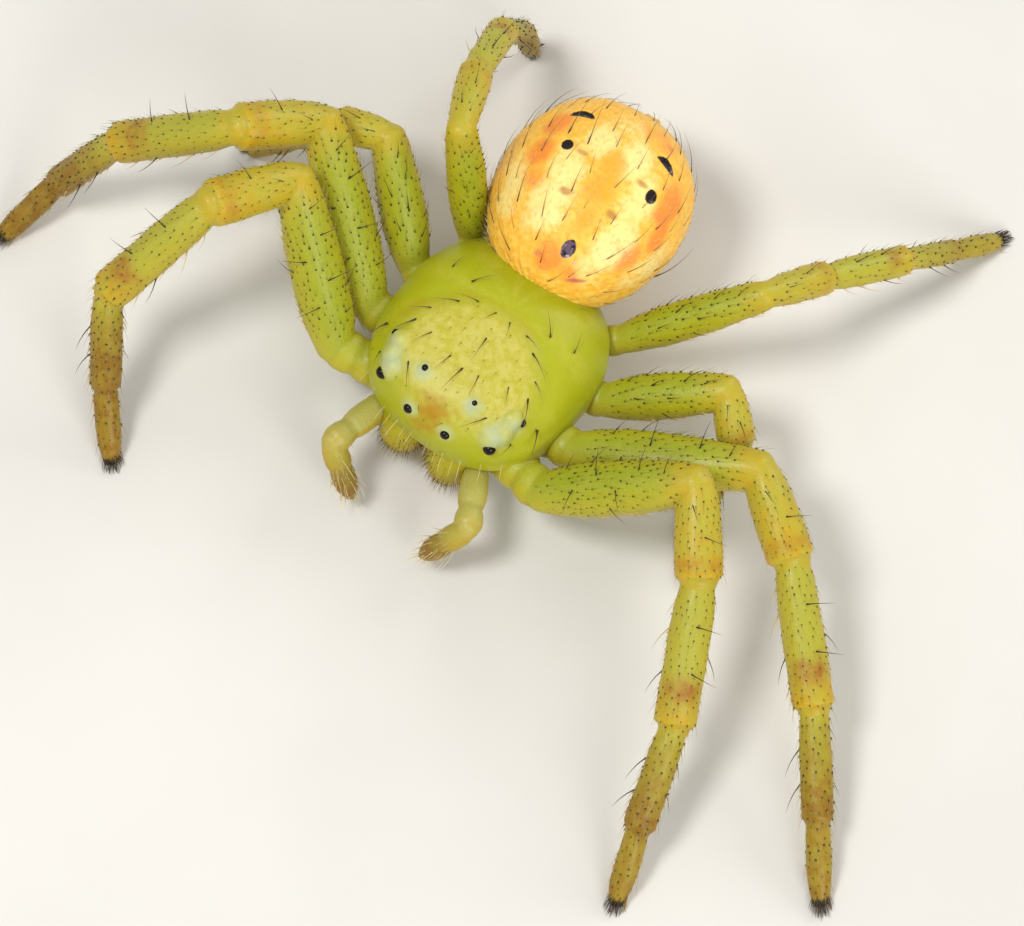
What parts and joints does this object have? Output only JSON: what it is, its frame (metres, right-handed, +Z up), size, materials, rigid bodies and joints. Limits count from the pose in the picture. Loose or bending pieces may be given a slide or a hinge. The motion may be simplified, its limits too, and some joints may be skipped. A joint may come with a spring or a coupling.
{
  "type": "crab spider",
  "caption": "Small green crab spider with an orange spotted abdomen, standing still on eight legs with the front pairs held wide.",
  "frame": {"origin": "middle of the floor under the whole spider, at the level of its feet", "axes": "+Z up, the spider faces -Y, its left side is +X"},
  "size_m": [0.014, 0.0108, 0.0034],
  "materials": {
    "shield": "glossy yellow-green cuticle",
    "underside": "pale yellow-green cuticle",
    "abdomen": "finely pitted golden orange skin with cream patches and five dark spots",
    "legs": "translucent yellow-green cuticle dotted with dark bristle sockets",
    "feet": "olive yellow cuticle turning brown to the tips",
    "palps": "whitish translucent cuticle, brownish at the tips",
    "eyes": "polished black lenses",
    "claws": "dark brown horn"
  },
  "bodies": {
    "root": {"carapace": "shield", "sternum": "underside", "abdomen": "abdomen", "pedicel": "underside", "spinnerets": "underside", "eye_front_inner_left": "eyes", "eye_front_outer_left": "eyes", "eye_back_inner_left": "eyes", "eye_back_outer_left": "eyes", "eye_front_inner_right": "eyes", "eye_front_outer_right": "eyes", "eye_back_inner_right": "eyes", "eye_back_outer_right": "eyes", "chelicera_left": "shield", "chelicera_right": "shield", "fang_left": "claws", "fang_right": "claws", "palp_left_femur": "palps", "palp_left_tip": "palps", "palp_right_femur": "palps", "palp_right_tip": "palps", "leg_1_left_femur": "legs", "leg_1_left_tibia": "legs", "leg_1_left_foot": "feet", "leg_1_left_claws": "claws", "leg_2_left_femur": "legs", "leg_2_left_tibia": "legs", "leg_2_left_foot": "feet", "leg_2_left_claws": "claws", "leg_3_left_femur": "legs", "leg_3_left_tibia": "legs", "leg_3_left_foot": "feet", "leg_3_left_claws": "claws", "leg_4_left_femur": "legs", "leg_4_left_tibia": "legs", "leg_4_left_foot": "feet", "leg_4_left_claws": "claws", "leg_1_right_femur": "legs", "leg_1_right_tibia": "legs", "leg_1_right_foot": "feet", "leg_1_right_claws": "claws", "leg_2_right_femur": "legs", "leg_2_right_tibia": "legs", "leg_2_right_foot": "feet", "leg_2_right_claws": "claws", "leg_3_right_femur": "legs", "leg_3_right_tibia": "legs", "leg_3_right_foot": "feet", "leg_3_right_claws": "claws", "leg_4_right_femur": "legs", "leg_4_right_tibia": "legs", "leg_4_right_foot": "feet", "leg_4_right_claws": "claws"}
  },
  "joints": []
}
